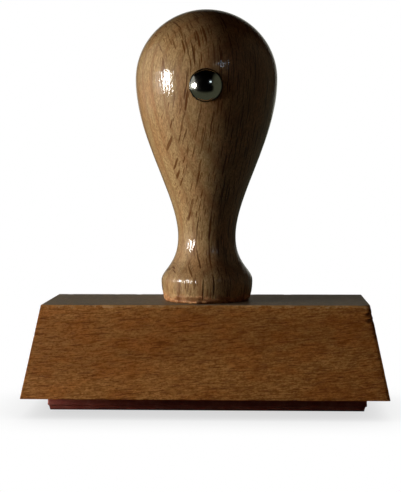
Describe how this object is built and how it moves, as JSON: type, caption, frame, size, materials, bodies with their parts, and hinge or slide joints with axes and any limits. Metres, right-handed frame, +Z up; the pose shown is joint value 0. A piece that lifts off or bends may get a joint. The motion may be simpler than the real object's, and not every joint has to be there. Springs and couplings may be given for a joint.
{
  "type": "wooden hand stamp",
  "caption": "Wooden hand stamp: a pear-shaped turned handle with a domed marker nail, screwed to a sloped beech block that carries a rubber die on a sponge layer.",
  "frame": {"origin": "on the print face, below the centre of the block", "axes": "+Z up from the print face to the top of the handle, +X along the block, -Y to the front, where the marker nail is"},
  "size_m": [0.0734, 0.0314, 0.0825],
  "materials": {
    "lacquered_beech": "turned pale beech under clear gloss lacquer",
    "oiled_beech": "planed and sawn steamed beech, satin",
    "nickel": "bright nickel plate",
    "steel": "drawn wire",
    "zinc_steel": "zinc plate",
    "adhesive": "thin double-sided film",
    "sponge": "closed-cell sponge with cut edges",
    "die_rubber": "moulded stamp rubber with ink left on the print"
  },
  "bodies": {
    "stamp": {"handle": "lacquered_beech", "nail_cap": "nickel", "nail_pin": "steel", "dowel_screw": "zinc_steel", "mount_block": "oiled_beech", "upper_film": "adhesive", "sponge_layer": "sponge"},
    "die": {"lower_film": "adhesive", "rubber_die": "die_rubber"}
  },
  "joints": [
    {"name": "die_press", "type": "slide", "parent": "stamp", "child": "die", "axis": [0, 0, 1], "range_m": [0, 0.0005], "stiffness_N_per_m": 400, "springref_m": -0.0015, "deforming": ["sponge_layer"]}
  ]
}
